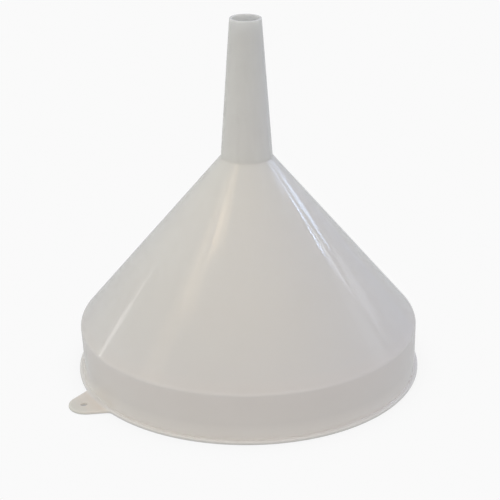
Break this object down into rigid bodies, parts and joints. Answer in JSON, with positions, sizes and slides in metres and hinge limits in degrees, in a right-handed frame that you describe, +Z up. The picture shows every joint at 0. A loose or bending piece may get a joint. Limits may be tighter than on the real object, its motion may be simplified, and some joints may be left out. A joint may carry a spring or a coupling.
{
  "type": "funnel",
  "caption": "Wide plastic funnel with a straight cone, a short upright collar, a flat rim with a holed hanging tab, and a long tapered spout.",
  "frame": {"origin": "centre of the rim's flat resting face, on the funnel's axis", "axes": "+Z up the axis from the rim to the tip of the spout; +X through the hanging tab and its hole; +Y completes a right-handed frame"},
  "size_m": [0.2705, 0.25, 0.26],
  "materials": {
    "milky_plastic": "milky translucent polypropylene, satin, with fine handling scuffs"
  },
  "bodies": {
    "root": {"rim_flange": "milky_plastic", "hanging_tab": "milky_plastic", "collar": "milky_plastic", "cone": "milky_plastic", "spout": "milky_plastic"}
  },
  "joints": []
}
